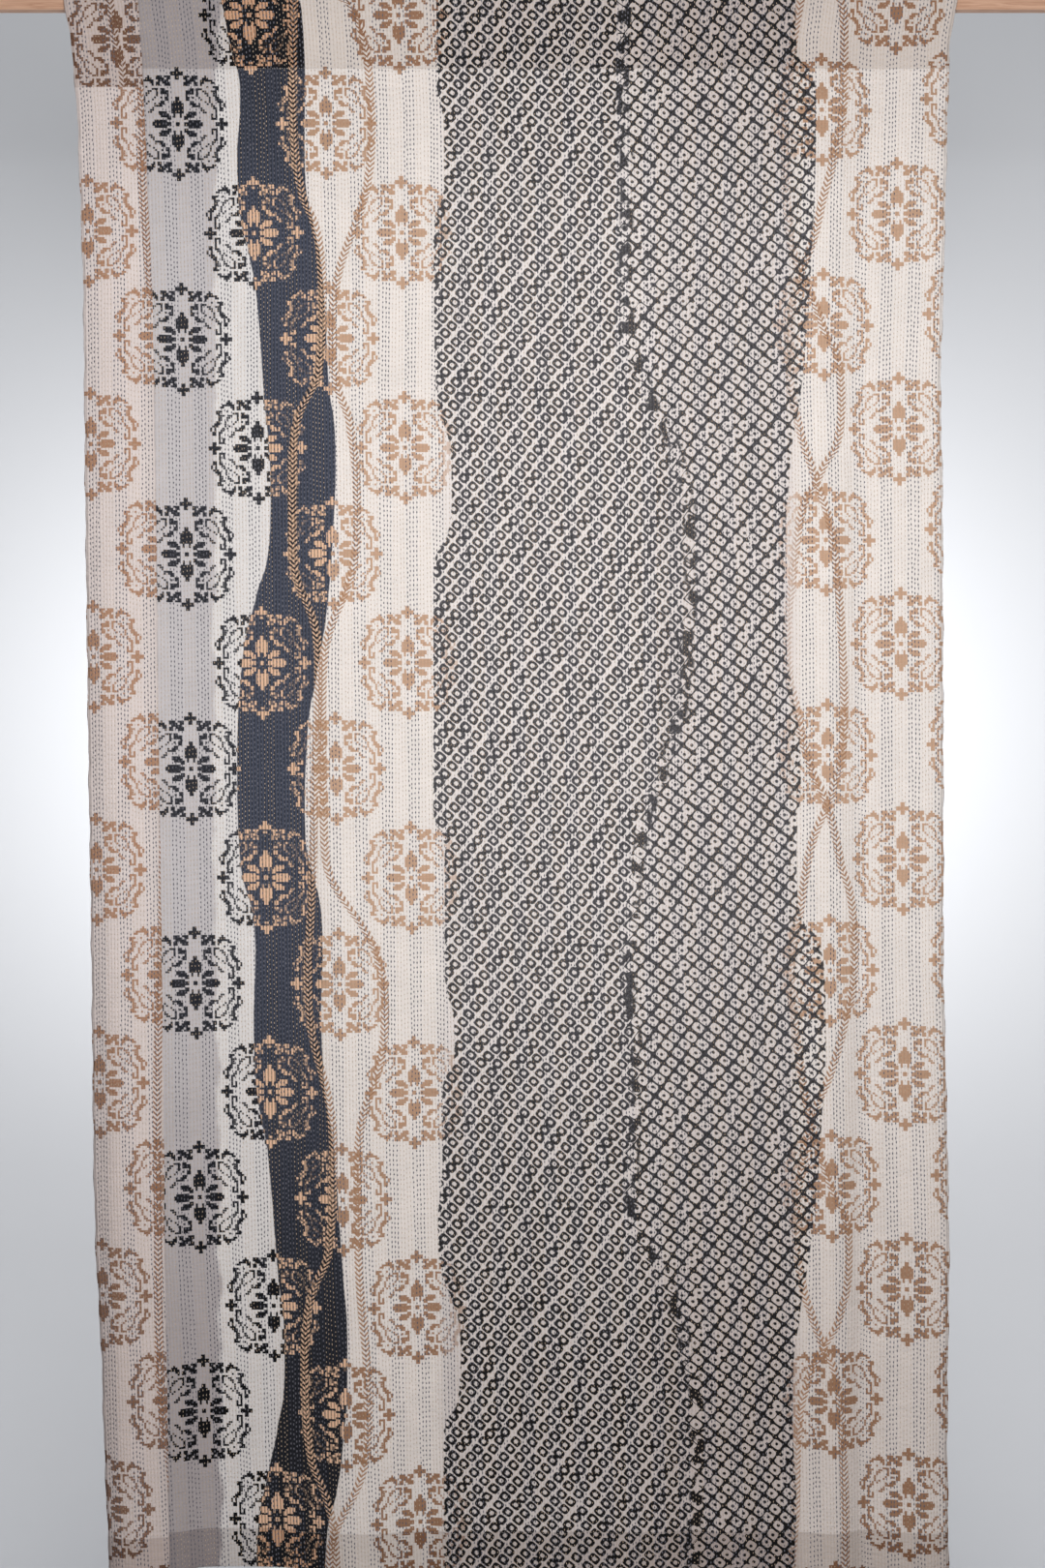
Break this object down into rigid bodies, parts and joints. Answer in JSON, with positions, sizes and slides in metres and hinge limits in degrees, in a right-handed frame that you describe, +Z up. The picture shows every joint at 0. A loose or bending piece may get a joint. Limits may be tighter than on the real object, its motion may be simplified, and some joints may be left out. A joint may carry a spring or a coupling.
{
  "type": "kantha curtain and wooden rail",
  "caption": "Thin quilted cotton curtain with running stitch, hung by a sewn rod pocket from a flat wooden rail.",
  "frame": {"origin": "the middle of the wooden rail", "axes": "+X along the rail towards the right as seen from the room, -Y towards the room, +Z up"},
  "size_m": [1.48, 0.0343, 2.1031],
  "materials": {
    "printed_cotton": "thin matte cotton, block printed and hand quilted",
    "strip_cotton": "thin matte cotton, block printed and hand quilted",
    "rail_wood": "planed softwood, bare",
    "thread": "matte cotton thread"
  },
  "bodies": {
    "root": {"curtain_panel": "printed_cotton", "side_strip": "strip_cotton", "wooden_rail": "rail_wood"}
  },
  "joints": []
}
